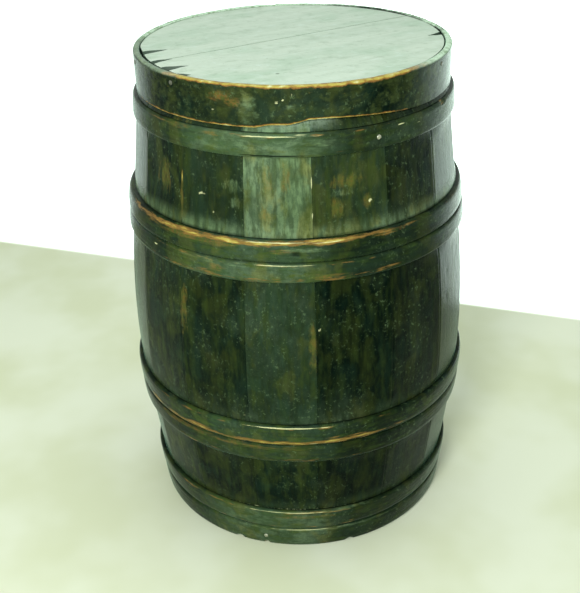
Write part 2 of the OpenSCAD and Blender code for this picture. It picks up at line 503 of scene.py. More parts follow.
def lid_board_wood():
    m = Material("lid_board_wood", Specular_IOR_Level=0.35)
    along = m.node("VectorRotate", Vector=m.place(), Angle=math.radians(-SEAM_ANGLE))
    along.rotation_type = "Z_AXIS"
    place = along.outputs[0]
    bands = m.noise(place, (0.35, 0.028, 0.05), 4, 0.6, 0.4)
    grain = m.noise(place, (0.07, 0.0022, 0.02), 4, 0.6)
    cloud = m.noise(place, (0.10, 0.06, 0.06), 4, 0.6)
    spots = m.noise(m.place(), (0.0035, 0.0035), 2, 0.5)
    smudge = m.noise(m.place(), (0.016, 0.011, 0.02), 4, 0.7)
    across = m.node("SeparateXYZ", Vector=place).outputs["Y"]
    from_seam = m.math("ABSOLUTE", m.math("SUBTRACT", across, SEAM_SHIFT))
    from_dark_spot = m.vector("DISTANCE", m.place(), DARK_SPOT_AT, output="Value")
    colour = m.mix(m.step(bands, 0.35, 0.70), rgb(176, 192, 174), rgb(166, 184, 165))
    colour = m.tint(m.step(cloud, 0.45, 0.70), 0.70, colour, rgb(150, 176, 152))
    colour = m.tint(m.step(grain, 0.48, 0.75), 0.30, colour, rgb(126, 146, 122))
    colour = m.tint(m.step(spots, 0.69, 0.77), 0.55, colour, rgb(104, 124, 100))
    colour = m.tint(m.step(smudge, 0.52, 0.72), 0.45, colour, rgb(122, 146, 120))
    colour = m.tint(m.step(smudge, 0.46, 0.28), 0.45, colour, rgb(188, 206, 196))
    colour = m.tint(m.step(from_seam, 1.6 * MM, 0.5 * MM), 0.5, colour, rgb(60, 84, 60))
    colour = m.tint(m.step(from_dark_spot, 3.0 * MM, 1.2 * MM), 0.7, colour, rgb(60, 80, 60))
    # Painted shade on the boards' sides and in the splinters.
    colour = m.tint(m.attribute("dirt_and_shade"), 0.90, colour, rgb(34, 58, 42))
    rough = m.span(grain, 0.42, 0.62)
    normal = m.bump(grain, 0.20 * MM)
    normal = m.bump(bands, 0.5 * MM, normal)
    return m.surface(colour, rough, normal)


def bare_oak():
    m = Material("bare_oak", Specular_IOR_Level=0.3)
    place = m.place()
    bands = m.noise(place, (0.012, 0.25, 0.02), 4, 0.6, 0.5)
    grain = m.noise(place, (0.0015, 0.05, 0.0015), 4, 0.6)
    stain = m.noise(place, (0.06, 0.08, 0.06), 3, 0.6)
    colour = m.mix(m.step(bands, 0.35, 0.70), rgb(150, 118, 78), rgb(112, 82, 50))
    colour = m.tint(m.step(grain, 0.45, 0.75), 0.5, colour, rgb(84, 60, 38))
    colour = m.tint(m.step(stain, 0.5, 0.75), 0.5, colour, rgb(70, 40, 36))
    normal = m.bump(grain, 0.3 * MM)
    return m.surface(colour, m.span(grain, 0.6, 0.85), normal)


def iron():
    m = Material("iron")
    rust = m.noise(m.place(), (0.0012, 0.0012), 4, 0.7)
    rusty = m.step(rust, 0.45, 0.65)
    age = m.attribute("age")
    colour = m.mix(rusty, rgb(190, 196, 176), rgb(108, 86, 62))
    colour = m.mix(age, colour, rgb(44, 48, 32))
    metal = m.times(m.span(rusty, 0.9, 0.2), m.span(age, 1.0, 0.1))
    return m.surface(colour, m.span(rust, 0.3, 0.65), m.bump(rust, 0.15 * MM), metal)


def bung_wood():
    m = Material("bung_wood", Specular_IOR_Level=0.35)
    from_heart = m.vector("SUBTRACT", m.place(), (0.03, 0, BULGE_Z - 0.05))
    rings = m.node("TexWave", Vector=from_heart, Scale=160, Distortion=3)
    rings.wave_type = "RINGS"
    rings.rings_direction = "Y"
    pores = m.noise(m.place(), (0.0012, 0.02, 0.0012), 3, 0.6)
    colour = m.mix(rings.outputs["Fac"], rgb(128, 92, 54), rgb(96, 64, 36))
    colour = m.tint(m.step(pores, 0.5, 0.7), 0.6, colour, rgb(52, 36, 22))
    return m.surface(colour, m.span(pores, 0.45, 0.7), m.bump(pores, 0.2 * MM))


WOODS_AND_IRON = (stave_oak, hoop_wood, lid_band_wood, lid_board_wood, bare_oak, iron, bung_wood)
MATERIALS = {make.__name__: make() for make in WOODS_AND_IRON}


# ---- worn places

HOOP_BOXES = {h[0]: (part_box(h[0])[0].z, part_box(h[0])[1].z) for h in HOOPS}
HOOP_TOP = {node: box[1] for node, box in HOOP_BOXES.items()}
# Marks by kind: bearing, height, half width in degrees, half height.
MARKS = {
    "spot": [
        (-24, 0.606, 5.5, 0.007), (-20, 0.601, 2.6, 0.007), (-42, 0.567, 4, 0.004), (-38, 0.568, 3, 0.003),
        (-28, 0.566, 4, 0.003), (-26, 0.414, 3.5, 0.004), (8, 0.4095, 7, 0.003), (-40, 0.345, 1.8, 0.035),
        (3.4, 0.315, 1.3, 0.04), (4, 0.183, 14, 0.003), (-36, 0.184, 12, 0.003), (0, 0.055, 13, 0.003),
        (-9.5, 0.513, 2.4, 0.02), (-4, 0.52, 1.9, 0.02), (16, 0.512, 6, 0.009),
        (-40.8, 0.49, 0.8, 0.03), (12.5, 0.484, 2.6, 0.014), (-10, 0.478, 2.4, 0.01),
        (23, 0.486, 2.2, 0.01), (-50, 0.5, 4, 0.02),
        (-34, HOOP_TOP["upper_hoop_a"] - 0.008, 22, 0.0045),
        (-6, HOOP_TOP["upper_hoop_a"] - 0.013, 5, 0.0028), (-30, 0.176, 34, 0.004),
    ],
    "wear_and_glint": [(-40.6, 0.508, 0.3, 0.008)],
    "pale": [
        (4.4, 0.515, 0.24, 0.009), (4.4, 0.478, 0.24, 0.0042), (-12, 0.5345, 6, 0.001),
        (-33, 0.4935, 0.98, 0.0015), (-31, 0.492, 0.83, 0.0018), (-28, 0.4735, 0.68, 0.0017),
        (-11, 0.5035, 1.95, 0.0006), (-16, 0.507, 0.68, 0.001), (25.6, 0.506, 0.3, 0.003),
        (24, 0.486, 0.9, 0.0006), (-6, 0.602, 0.83, 0.0014), (-4, 0.6045, 0.6, 0.001),
        (-27.5, 0.59, 1.05, 0.001), (15.8, 0.597, 0.98, 0.0008), (-1, 0.61, 0.3, 0.0035),
        (36, 0.565, 1.95, 0.0008), (44, 0.56, 1.5, 0.0007), (-6, 0.496, 1.65, 0.0007),
        (1, 0.5685, 3.75, 0.0006), (-15, 0.567, 3, 0.0006), (-52, 0.417, 1.12, 0.0008),
        (-19, 0.219, 0.52, 0.0008), (-22, 0.217, 0.45, 0.0006), (-18, 0.036, 0.68, 0.0008),
        (-12, 0.033, 0.68, 0.0007), (10, 0.232, 0.38, 0.0008), (6, 0.355, 0.6, 0.0011),
        (3, 0.183, 2.25, 0.0006), (-6, 0.196, 0.6, 0.0007), (8, 0.4485, 6.75, 0.0006),
        # Painted glints: the long thin lines along the hoops' top edges, where the flash catches them.
        (-6, 0.5668, 15, 0.0009), (-8, HOOP_TOP["upper_hoop_a"] - 0.0022, 17, 0.0009),
        (-6, HOOP_TOP["lower_hoop_a"] - 0.0022, 17, 0.001),
        (-8, HOOP_TOP["foot_hoop_a"] - 0.002, 22, 0.0006),
        (-4, HOOP_TOP["upper_hoop_b"] - 0.002, 14, 0.0005),
        (0, HOOP_TOP["foot_hoop_b"] - 0.002, 20, 0.0005), (9, 0.374, 0.45, 0.0009),
        (15, 0.35, 0.4, 0.0009), (-13, 0.305, 0.4, 0.001), (5.5, 0.34, 0.45, 0.0016),
        (19, 0.338, 0.3, 0.001),
    ],
    # Pale misty patches. On the front stave and along the hoops' top edges they are painted highlight.
    "mist_and_highlight": [
        (-15.5, 0.596, 4, 0.019), (14, 0.499, 5, 0.005), (-21, 0.508, 4, 0.009), (-20, 0.49, 2.5, 0.008),
        (-14, 0.556, 13, 0.01), (4, 0.56, 8, 0.006), (-2, 0.597, 3.5, 0.004), (2, 0.44, 9, 0.004),
        (-16, HOOP_TOP["upper_hoop_b"] - 0.0035, 30, 0.004),
        (-8, HOOP_TOP["foot_hoop_a"] - 0.0015, 44, 0.0032),
        (0, HOOP_TOP["foot_hoop_b"] - 0.003, 40, 0.0032),
    ],
    "dirt_and_shade": [
        (140, 0.6188, 36, 0.0018), (-74, 0.6185, 24, 0.0012), (100, 0.618, 9, 0.0024),
        (3, 0.5575, 7, 0.0009), (-8, 0.5455, 12, 0.0012), (61, 0.615, 1.6, 0.002),
        (-1, 0.437, 2.4, 0.003),
    ],
}


def marks(kind, bearings, heights):
    """How far each point lies in a mark of this kind, 0 to 1."""
    total = np.zeros(np.broadcast(bearings, heights).shape)
    for bearing, height, wide, high in MARKS[kind]:
        d = np.hypot(turned(bearings, bearing) / wide, (heights - height) / high)
        total = np.maximum(total, 1 - smooth(0.2, 1.4, d))
    return total


def coloured_marks(bearings, heights, share):
    """The attributes of the marks that only change the colour."""
    return {kind: marks(kind, bearings, heights) * share for kind in ("spot", "mist_and_highlight", "pale")}


def front_share(bearings, centre, full, gone):
    """1 within full degrees of the centre, falling to 0 at gone."""
    return 1 - smooth(full, gone, np.abs(turned(bearings, centre)))


def hoop_cover(z, margin):
    """1 where a hoop covers height z, falling to 0 at margin from its edges."""
    z = np.asarray(z, float)
    cover = np.zeros_like(z)
    for low, high in HOOP_BOXES.values():
        outside = np.maximum(low - z, z - high)
        cover = np.maximum(cover, 1 - smooth(0, margin, outside))
    return cover


# ---- staves

# How light each stave's varnish is in its upper, middle and lower span, from the first joint round. On the
# staves in front, a lighter upper span is partly painted light of the flash.
STAVE_TONES = [
    (0.50, 0.20, 0.18), (0.22, 0.20, 0.24), (0.40, 0.36, 0.30), (0.46, 0.40, 0.42), (0.34, 0.46, 0.30),
    (0.50, 0.36, 0.44), (0.30, 0.42, 0.36), (0.44, 0.34, 0.50), (0.52, 0.44, 0.34), (0.30, 0.36, 0.30),
    (0.46, 0.48, 0.44), (0.36, 0.30, 0.38), (0.48, 0.44, 0.30), (0.42, 0.40, 0.50), (0.34, 0.30, 0.30),
    (0.60, 0.46, 0.42),
]
# Painted highlight: the flash's sheen as a pale film on the staves in front, for the same spans.
PAINTED_HIGHLIGHT = {0: (0.14, 0.0, 0.0), 14: (0.10, 0.03, 0.05), 15: (0.92, 0.18, 0.06)}
# How far each stave's face goes towards a flat plank, and the shape of its eased edges.
FLAT_SHARE = 0.55
SEAM_DEPTH = 0.4 * MM
SEAM_WIDTH = 1.1 * MM
# Half of the gap that is left at each joint.
HALF_GAP = 0.05 * MM


def stave_outline():
    """The stave's section as (r, z) points, and how much of the outer face's shaping each one takes."""
    outer_z = np.linspace(0.8 * MM, SHOULDER_Z, 150)
    outer = np.stack([stave_r(outer_z), outer_z], -1)
    inner_top = float(stave_r(RIM_TOP)) - STAVE_T
    shoulder_end = SHOULDER_Z + (SHOULDER_R - REBATE_R) / BEVEL
    top = rounded([
        (SHOULDER_R, SHOULDER_Z, 0),
        (REBATE_R, shoulder_end, 0.6 * MM),
        (REBATE_R, RIM_TOP, 1.8 * MM),
        (inner_top, RIM_TOP, 1.8 * MM),
        (inner_top, RIM_TOP - 20 * MM, 0),
    ])[1:]
    top = np.concatenate([finer(top[:-1], 4 * MM)[:-1], top[-1:]])
    inner_z = np.linspace(RIM_TOP - 30 * MM, CROZE_Z + CROZE_H + 3 * MM, 40)
    inner = np.stack([stave_r(inner_z) - STAVE_T, inner_z], -1)

    def inside(z):
        return float(stave_r(z)) - STAVE_T

    croze_r = inside(CROZE_Z) + CROZE_DEPTH
    croze = np.array([
        (inside(CROZE_Z + CROZE_H), CROZE_Z + CROZE_H),
        (croze_r, CROZE_Z + CROZE_H),
        (croze_r, CROZE_Z),
        (inside(CROZE_Z), CROZE_Z),
        (inside(20 * MM), 20 * MM),
        (inside(0) + 6 * MM, 0),
        (float(stave_r(0)) - 1 * MM, 0),
    ])
    loop = np.concatenate([outer, top, inner, croze])
    share = np.concatenate([np.ones(len(outer)), np.full(4, 0.5), np.zeros(len(loop) - len(outer) - 4)])
    return loop, share


def by_span(z, upper, middle, lower):
    """A value for each span between the groups of hoops, blended behind the hoops."""
    return np.interp(z, [0.14, 0.19, 0.40, 0.45], [lower, middle, middle, upper])


def pale_above_hoops(z):
    """How much paler the staves are made just above each hoop, most above the upper hoops."""
    total = np.zeros_like(z)
    for _, high in HOOP_BOXES.values():
        if high < SHOULDER_Z - 1 * MM:
            here = (0.20 + 0.80 * smooth(0.30, 0.40, high)) * (1 - smooth(2 * MM, 20 * MM, z - high))
            total = np.maximum(total, np.where(z >= high, here, 0))
    return total


def stave_piece(i):
    random.seed(100 + i)
    loop, share = stave_outline()
    start, end = JOINTS[i], JOINTS[i + 1]
    half = (end - start) / 2
    edge = np.array([0, 0.4, 0.8, 1.3, 2.0, 3.0, 4.5]) * MM / (BULGE_R * math.radians(half))
    middle = np.linspace(-1 + edge[-1] * 1.5, 1 - edge[-1] * 1.5, 21)
    u = np.concatenate([-1 + edge, middle, (1 - edge)[::-1]])
    bearings = (start + end) / 2 + u * (half - math.degrees(HALF_GAP / BULGE_R))
    b, zz = np.meshgrid(bearings, loop[:, 1], indexing="ij")
    rr = np.broadcast_to(loop[:, 0], zz.shape)
    uu = np.broadcast_to(u[:, None], zz.shape)

    free = 1 - hoop_cover(zz, 16 * MM)
    sagitta = BULGE_R * (1 - math.cos(math.radians(half)))
    flat = sagitta * FLAT_SHARE * (0.55 - uu ** 2) * free
    from_edge = (1 - np.abs(uu)) * math.radians(half) * rr
    seam = SEAM_DEPTH * bell(from_edge, SEAM_WIDTH)
    lean = random.uniform(-0.35, 0.35) * MM * uu
    p = on_axis(b, rr, zz)
    wave = value_noise(p, (0.05, 0.05, 0.16), i) * 0.35 * MM
    dent = np.minimum(value_noise(p, 0.012, i + 40) + 0.45, 0) * 1.2 * MM
    inward = (0.1 * MM + flat + seam - (lean + wave + dent) * free) * share

    outer = np.broadcast_to(share, zz.shape)
    inside = (outer == 0) & (rr < REBATE_R - 1 * MM)
    shoulder = smooth(SHOULDER_Z, SHOULDER_Z + 2 * MM, zz)
    # Painted highlight: the flash's sheen on the front staves, fading downwards, and on the shoulder's bevel
    # in front. The staves are also made paler just above each hoop.
    film_and_highlight = by_span(zz, *PAINTED_HIGHLIGHT.get(i, (0, 0, 0))) * smooth(0.05, 0.36, zz)
    film_and_highlight = film_and_highlight * (0.72 + 0.28 * smooth(0.47, 0.53, zz))
    film_and_highlight = film_and_highlight + 0.60 * pale_above_hoops(zz) + shoulder * (0.05 + 0.5 * front_share(b, -2, 9, 20))
    dirt_and_shade = 0.4 * bell(from_edge, 0.5 * MM) + 0.8 * marks("dirt_and_shade", b, zz)
    attributes = {
        "tone_and_lighting": by_span(zz, *STAVE_TONES[i]) * (1 - 0.5 * shoulder),
        "raw": inside.astype(float),
        "wear_and_glint": np.maximum(0.10 * bell(from_edge, 1.6 * MM), marks("wear_and_glint", b, zz)) * outer,
        "haze_and_highlight": np.clip(film_and_highlight, 0, 1) * outer,
        # Painted highlight: the shoulder's bevel is made pale in front, where it faces the flash.
        "bleach_and_highlight": 0.75 * shoulder * front_share(b, -1, 7, 17) * outer,
        "dirt_and_shade": np.clip(dirt_and_shade * outer, 0, 1),
        **coloured_marks(b, zz, outer),
    }
    mesh = swept_mesh(f"oak_stave_{i + 1:02d}", on_axis(b, rr - inward, zz), attributes)
    obj = new_object(mesh.name, mesh, MATERIALS["stave_oak"])
    if i == BUNG_STAVE:
        bore_bung_hole(obj)
    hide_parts(f"stave_{i + 1:02d}")
    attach(obj, "cask")


# ---- bung

BUNG_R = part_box("bung")[1].x
BUNG_LOW, BUNG_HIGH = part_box("bung")[0].y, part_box("bung")[1].y
BUNG_SLOPE = 0.12


def lathe(name, outline, steps, to_world):
    """A turned solid from (radius, height) points that start and end on its axis, placed by a matrix."""
    bm = bmesh.new()
    rings = []
    for radius, height in outline:
        if radius < 1e-7:
            rings.append([bm.verts.new(to_world @ Vector((0, 0, height)))])
            continue
        ring = []
        for k in range(steps):
            a = 2 * math.pi * k / steps
            ring.append(bm.verts.new(to_world @ Vector((radius * math.cos(a), radius * math.sin(a), height))))
        rings.append(ring)
    for low, high in zip(rings, rings[1:]):
        for k in range(steps):
            n = k + 1
            quad = [low[k % len(low)], low[n % len(low)], high[n % len(high)], high[k % len(high)]]
            bm.faces.new(list(dict.fromkeys(quad)))
    bmesh.ops.recalc_face_normals(bm, faces=bm.faces)
    mesh = mesh_of(bm, name)
    shade(mesh)
    return mesh


BUNG_PLACE = Matrix.Translation((0, 0, BULGE_Z)) @ Matrix.Rotation(math.radians(-90), 4, "X")


def bung_outline(grow, low, high, ease):
    """Radii of the bung's cone from low to high, grown and with eased ends."""
    def radius(y):
        return BUNG_R + grow - BUNG_SLOPE * (BUNG_HIGH - y)

    return [
        (0, low), (radius(low) - ease, low), (radius(low + ease), low + ease),
        (radius(high - ease), high - ease), (radius(high) - ease * 0.6, high - ease * 0.3),
        (radius(high) - ease * 1.6, high), (0, high),
    ]


def cut(obj, cutters):
    """Takes each cutter's mesh out of obj, for good."""
    for mesh in cutters:
        tool = linked("cutter", mesh)
        m = obj.modifiers.new("cut", "BOOLEAN")
        m.operation = "DIFFERENCE"
        m.solver = "EXACT"
        m.object = tool
        bpy.context.view_layer.update()
        depsgraph = bpy.context.evaluated_depsgraph_get()
        done = bpy.data.meshes.new_from_object(obj.evaluated_get(depsgraph))
        old = obj.data
        obj.modifiers.clear()
        done.name = old.name
        obj.data = done
        bpy.data.objects.remove(tool)


def bore_bung_hole(obj):
    outline = bung_outline(0.15 * MM, BUNG_LOW - 0.02, BUNG_HIGH + 0.02, 0)
    cut(obj, [lathe("bung_bore", outline[:2] + outline[-2:], 64, BUNG_PLACE)])
    finish_mesh(obj.data)


def bung_piece():
    mesh = lathe("bung_plug", bung_outline(0, BUNG_LOW, BUNG_HIGH, 1.2 * MM), 64, BUNG_PLACE)
    obj = new_object("bung_plug", mesh, MATERIALS["bung_wood"])
    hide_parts("bung")
    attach(obj, "bung")


# ---- hoops

# Broken places on each hoop's edges: bearing, half width in degrees, depth, edge.
CHIPS = {
    "foot_hoop_b": [
        (-26, 2.2, 3.0 * MM, "low"), (-15, 1.5, 2.5 * MM, "low"), (17, 2.0, 2.2 * MM, "low"),
        (100, 3.0, 3.0 * MM, "low"), (190, 2.5, 2.5 * MM, "low"),
    ],
    "upper_hoop_b": [(8, 5, 1.4 * MM, "low"), (121, 4, 1.6 * MM, "low")],
    "lower_hoop_a": [(-5, 1.6, 1.2 * MM, "low")],
    "head_hoop": [(60, 3, 1.3 * MM, "high"), (205, 4, 1.5 * MM, "low")],
}
# Each hoop's tone, how worn its top and bottom edges are, and its film of haze, 0 to 1. The haze is a painted
# highlight, shown most in front, where the flash falls.
HOOP_LOOKS = {
    "head_hoop": (0.66, 0.22, 0.12, 0.66),
    "upper_hoop_a": (0.62, 0.80, 0.12, 0.26),
    "upper_hoop_b": (0.70, 0.25, 0.32, 0.42),
    "lower_hoop_a": (0.66, 0.25, 0.78, 0.18),
    "lower_hoop_b": (0.38, 0.05, 0.20, 0.18),
    "foot_hoop_a": (0.58, 0.25, 0.22, 0.48),
    "foot_hoop_b": (0.54, 0.12, 0.12, 0.46),
}
# How far a hoop that has worked loose stands off on the left side.
LOOSE = {"upper_hoop_a": 1.8 * MM}
# The least share of its thickness that a strip keeps at a lap's thin end.
LAP_END = 0.02


def lapped(swept, depth):
    """Where a point lies in a bent strip's thickness: swept is its angle past the lap's start, in degrees.

    depth is 0 at the strip's back and 1 at its face. The ends are scarfed, and the last lies over the first.
    """
    outer = smooth(0, LAP, swept) * (1 - LAP_END) + LAP_END
    inner = smooth(360, 360 + LAP, swept) * (1 - LAP_END)
    return inner + (outer - inner) * depth


def hoop_section(low, high):
    """Heights round the hoop's section, crowned face and flat back, and how proud each point is, 0 to 1."""
    middle = (low + high) / 2
    turn = np.linspace(-math.pi / 2, math.pi / 2, 49)
    across = np.sign(np.sin(turn)) * np.abs(np.sin(turn)) ** 0.62
    proud = np.cos(turn) ** 0.36
    proud[0] = proud[-1] = 0
    back = np.linspace(high, low, 12)[1:-1]
    return np.concatenate([middle + across * (high - middle), back]), np.append(proud, np.zeros(len(back)))


def hoop_piece(node, lap_bearing):
    low, high = HOOP_BOXES[node]
    middle = (low + high) / 2
    tone_and_lighting, top_wear, low_wear, film_and_highlight = HOOP_LOOKS[node]
    z, depth = hoop_section(low, high)
    b, zz = np.meshgrid(lap_bearing + np.linspace(0, 360 + LAP, 560), z, indexing="ij")
    dd = np.broadcast_to(depth, zz.shape)
    upper = zz > middle
    back_in = np.where(upper, -1, 1)
    edge = np.clip(np.abs(zz - middle) / (high - middle), 0, 1)

    seed = list(HOOP_BOXES).index(node)
    drum = on_axis(b, DRUM_R, zz)
    wobble = value_noise(drum, (0.06, 0.06, 1.0), seed + 3)
    ripple = value_noise(drum, (0.012, 0.012, 0.004), seed + 20)
    ridge = value_noise(drum, (0.05, 0.05, 0.003), seed + 40)
    patchy = value_noise(drum, (0.020, 0.020, 0.012), seed + 60)
    inward = (0.25 + 0.25 * wobble + 0.22 * np.maximum(ripple, 0) + 0.30 * np.maximum(ridge, 0)) * MM
    rise = back_in * smooth(0.5, 1, edge) * (0.55 + 0.55 * wobble) * MM
    if node == "foot_hoop_b":
        rise = rise * upper
    broken = np.zeros_like(b)
    for bearing, wide, deep, side in CHIPS.get(node, []):
        here = near(turned(b, bearing), 0, wide) * smooth(0.55, 1, edge)
        here = here * (upper if side == "high" else zz < middle)
        broken = np.maximum(broken, here)
        rise = rise + back_in * here * deep * 0.9
        inward = inward + here * deep * 0.8
    thick = HOOP_T.get(node, PAIR_HOOP_T) * lapped(b - lap_bearing, dd)
    loose = LOOSE.get(node, 0) * front_share(b, -95, 25, 70) * dd
    rr = stave_r(zz) + np.maximum(thick - inward * dd, 0.02 * MM * dd) + loose

    # The edges' wear shows most in front: rubbed wood, with a painted highlight where the flash falls.
    front = 0.25 + 0.75 * front_share(b, -16, 26, 62)
    edge_w = np.maximum(2.6 + 1.0 * wobble + 1.8 * patchy, 0.6) * MM
    face = smooth(0.3, 0.8, dd)
    top_edge = bell(high - zz - 2.8 * MM, (0.6 + 0.95 * top_wear) * edge_w) * face * (0.95 + 0.5 * patchy)
    low_edge = bell(zz - low - 4.6 * MM, 1.6 * edge_w) * face * (0.9 + 0.5 * patchy)
    # Painted shade where the hoop's sides meet the staves.
    shade_at_staves = np.where(dd < 0.30, 0.85 * (1 - dd / 0.30), 0)
    attributes = {
        # Painted light: the hoop is lighter in front, where the flash falls, and its haze there is a painted
        # highlight.
        "tone_and_lighting": tone_and_lighting * (0.42 + 0.72 * front_share(b, -18, 14, 40)),
        "wear_and_glint": np.clip((top_edge * top_wear + low_edge * low_wear) * front + broken * 0.4, 0, 1),
        "haze_and_highlight": film_and_highlight * (0.15 + 0.85 * front_share(b, -14, 10, 32)) * dd,
        "dirt_and_shade": np.clip(shade_at_staves + 0.8 * marks("dirt_and_shade", b, zz), 0, 1),
        **coloured_marks(b, zz, dd),
    }
    name = "bent_" + node
    mesh = swept_mesh(name, on_axis(b, rr, zz + rise * dd), attributes)
    obj = new_object(name, mesh, MATERIALS["hoop_wood"])
    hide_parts(node)
    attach(obj, "cask")


# ---- lid

def lid_band_section():
    """The band's section: a bevelled foot that sits on the stave ends, and a rounded rim."""
    bevel_r = SHOULDER_R - BEVEL * (LID_LOW - SHOULDER_Z) + BEVEL_PLAY
    bevel_end = SHOULDER_Z + (SHOULDER_R - (BAND_IN - BEVEL_PLAY)) / BEVEL
    return finer(rounded([
        (BAND_IN, bevel_end, 0.5 * MM),
        (bevel_r, LID_LOW, 0.3 * MM),
        (LID_R, LID_LOW, 0.9 * MM),
        (LID_R, CASK_H, 3.0 * MM),
        (BAND_IN, CASK_H, 1.6 * MM),
    ]), 1.8 * MM)


def lid_band_piece():
    low, high = LID_LOW, CASK_H
    loop = lid_band_section()
    b, zz = np.meshgrid(BAND_LAP_AT + np.linspace(0, 360 + LAP, 640), loop[:, 1], indexing="ij")
    dd = np.broadcast_to(np.clip((loop[:, 0] - BAND_IN) / LID_BAND_T, 0, 1), zz.shape)
    low_share = 1 - smooth(0, 20 * MM, zz - low)
    high_share = smooth(high - 8 * MM, high, zz)

    drum = on_axis(b, DRUM_R, zz)
    wobble = value_noise(drum, (0.05, 0.05, 1.0), 61)
    ripple = value_noise(drum, (0.010, 0.010, 0.006), 62)
    jag = value_noise(drum, (0.006, 0.006, 1.0), 63)
    nicks = np.maximum(value_noise(drum, (0.018, 0.018, 1.0), 64) - 0.25, 0) * 2.4 * MM * high_share
    f = turned(b, 0)
    notch = NOTCH_DEPTH * (0.33 * smooth(-14, -8, f) + 0.60 * smooth(-3, 5, f)) * (1 - smooth(6, 56, f))
    ragged = near(f, -5, 9) * np.maximum(jag, 0) * 2.2 * MM
    rise = (notch + ragged + (0.4 + 0.4 * wobble) * MM) * low_share
    rise = rise - (0.5 + 0.5 * wobble) * MM * high_share - 0.6 * nicks
    inward = (0.25 + 0.25 * wobble + 0.25 * np.maximum(ripple, 0)) * MM + nicks
    thick = LID_BAND_T * lapped(b - BAND_LAP_AT, dd)
    rr = BAND_IN + np.maximum(thick - inward * dd, 0.02 * MM * dd)

    front = front_share(b, 0, 38, 58)
    rim = bell(high - zz, (2.2 + 0.8 * jag + 1.6 * wobble) * MM) * smooth(0.05, 0.3, dd)
    foot = bell(zz - low, 1.1 * MM) * dd * (0.15 + 1.15 * front_share(b, -14, 36, 64))
    left = 1 - 0.70 * front_share(b, -72, 18, 34)
    # Painted shade on the band's inner face, in the gap by the boards.
    shade_in_gap = np.where((dd < 0.2) & (zz < high - 2 * MM), 0.45, 0)
    attributes = {
        "tone_and_lighting": np.full_like(b, 0.36),
        "wear_and_glint": np.clip(rim * front * (1.05 + 0.3 * wobble) + foot, 0, 1),
        # Painted highlight on the band's front, where the flash falls; the rim is also made pale on the left.
        "haze_and_highlight": 0.6 * front_share(b, -72, 20, 36) * rim + 0.09 * front_share(b, -6, 14, 36) * dd,
        "bleach_and_highlight": smooth(high - 2.6 * MM, high - 0.8 * MM, zz) * (1 - front) * left,
        "dirt_and_shade": np.clip(shade_in_gap + 0.8 * marks("dirt_and_shade", b, zz), 0, 1),
        **coloured_marks(b, zz, dd),
    }
    mesh = swept_mesh("bent_lid_band", on_axis(b, rr, zz + rise), attributes)
    obj = new_object("bent_lid_band", mesh, MATERIALS["lid_band_wood"])
    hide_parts("lid_band")
    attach(obj, "lid")


# Splinters broken out of the boards' ends, as outlines in the boards' own directions, in millimetres.
SPLINTERS = [
    [(-200, 63), (-172, 61), (-160, 60), (-150, 56), (-139, 51.5), (-149, 49.5), (-160, 48.5),
     (-176, 47), (-200, 46)],
    [(-200, 18), (-180, 16), (-168, 17), (-158, 13.6), (-152, 11.5), (-163, 9), (-170, 8),
     (-178, 5), (-200, 3)],
    [(-200, -11), (-180, -12), (-172, -13), (-165, -17), (-157, -20), (-149, -25), (-160, -25.5),
     (-168, -28), (-180, -30), (-200, -31)],
    [(-200, -42), (-176, -42), (-168, -50), (-163, -58), (-172, -60), (-200, -62)],
    [(200, -67), (170, -73), (155, -77.5), (141, -80.5), (151, -85), (165, -88), (200, -93)],
]
ALONG = Matrix.Rotation(math.radians(SEAM_ANGLE), 4, "Z")
# Half of the gap between the two boards, and the gap that shrinking left at the joint's left end.
HALF_JOINT = 0.4 * MM
LEFT_GAP = 3.4 * MM


def splinter_mesh(outline):
    """A broken-out place as a deep prism that narrows a little downwards."""
    bm = bmesh.new()
    plan = np.array(outline) * MM
    middle = plan.mean(axis=0)
    rows = []
    for z, shrink in ((BOARD_TOP + 2 * MM, 1), (BOARD_TOP, 1), (BOARD_TOP - 12 * MM, 0.8)):
        points = middle + (plan - middle) * shrink
        rows.append([bm.verts.new(ALONG @ Vector((x, y, z))) for x, y in points])
    close_rows(bm, rows)
    return mesh_of(bm, "splinter")


def board_shrink(bearing):
    """How far the boards have shrunk back from the band: most on the left, some on the right."""
    left = 3.6 * float(front_share(bearing, -64, 14, 26))
    right = 1.3 * float(front_share(bearing, 74, 18, 40))
    front = 0.6 * float(front_share(bearing, 28, 30, 50))
    return (0.35 + left + right + front) * MM


def board_outline(side):
    """The lid board's plan in the boards' own directions: an arc at the rim and a straight joint."""
    points = []
    joint_y = SEAM_SHIFT + side * HALF_JOINT
    for k in range(361):
        a = math.radians(k)
        r = BAND_IN - board_shrink(k + SEAM_ANGLE + 90)
        x, y = r * math.cos(a), r * math.sin(a)
        if (y - SEAM_SHIFT) * side > HALF_JOINT:
            points.append((x, y))
    reach = math.sqrt((BAND_IN - 0.6 * MM) ** 2 - SEAM_SHIFT ** 2)
    points = sorted(points, key=lambda p: math.atan2((p[1] - SEAM_SHIFT) * side, p[0]))
    return [(reach, joint_y)] + points + [(LEFT_GAP - reach, joint_y)]


